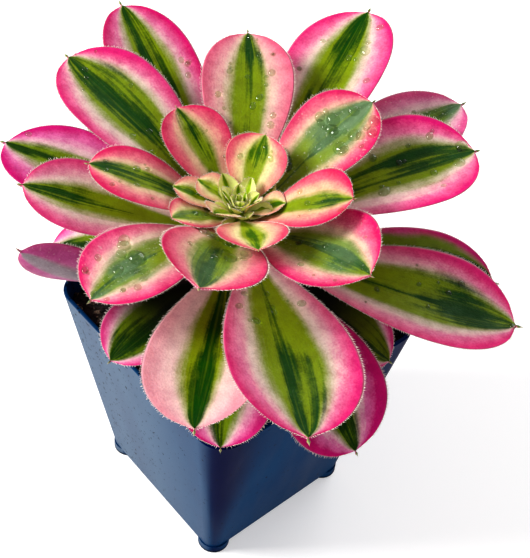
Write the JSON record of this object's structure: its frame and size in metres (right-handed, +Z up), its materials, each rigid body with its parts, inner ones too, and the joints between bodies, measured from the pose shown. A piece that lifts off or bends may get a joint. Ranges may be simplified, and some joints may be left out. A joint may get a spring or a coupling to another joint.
{
  "type": "potted aeonium",
  "caption": "Variegated pink and green aeonium rosette on a short leaning stem, planted in a square tapered blue-grey nursery pot.",
  "frame": {"origin": "middle of the pot's base, on the surface that the pot stands on", "axes": "+Z up; the pot's straight sides along X and Y; the rosette leans over the pot's +X -Y corner"},
  "size_m": [0.1655, 0.1558, 0.1709],
  "materials": {
    "pot_plastic": "satin",
    "potting_soil": "matte",
    "stem_bark": "matte",
    "young_leaf": "satin",
    "full_leaf": "satin",
    "old_leaf": "satin"
  },
  "bodies": {
    "root": {"pot": "pot_plastic", "soil": "potting_soil", "stem": "stem_bark", "leaf_01": "young_leaf", "leaf_02": "young_leaf", "leaf_03": "young_leaf", "leaf_04": "young_leaf", "leaf_05": "young_leaf", "leaf_06": "young_leaf", "leaf_07": "young_leaf", "leaf_08": "young_leaf", "leaf_09": "young_leaf", "leaf_10": "young_leaf", "leaf_11": "young_leaf", "leaf_12": "full_leaf", "leaf_13": "full_leaf", "leaf_14": "full_leaf", "leaf_15": "full_leaf", "leaf_16": "full_leaf", "leaf_17": "full_leaf", "leaf_18": "full_leaf", "leaf_19": "full_leaf", "leaf_20": "full_leaf", "leaf_21": "full_leaf", "leaf_22": "full_leaf", "leaf_23": "full_leaf", "leaf_24": "full_leaf", "leaf_25": "full_leaf", "leaf_26": "full_leaf", "leaf_27": "full_leaf", "leaf_28": "old_leaf", "leaf_29": "old_leaf", "leaf_30": "old_leaf", "leaf_31": "old_leaf", "leaf_32": "old_leaf", "leaf_33": "old_leaf", "leaf_34": "old_leaf", "leaf_35": "old_leaf", "leaf_36": "old_leaf", "leaf_37": "old_leaf", "leaf_38": "old_leaf", "leaf_39": "old_leaf", "leaf_40": "old_leaf"}
  },
  "joints": []
}
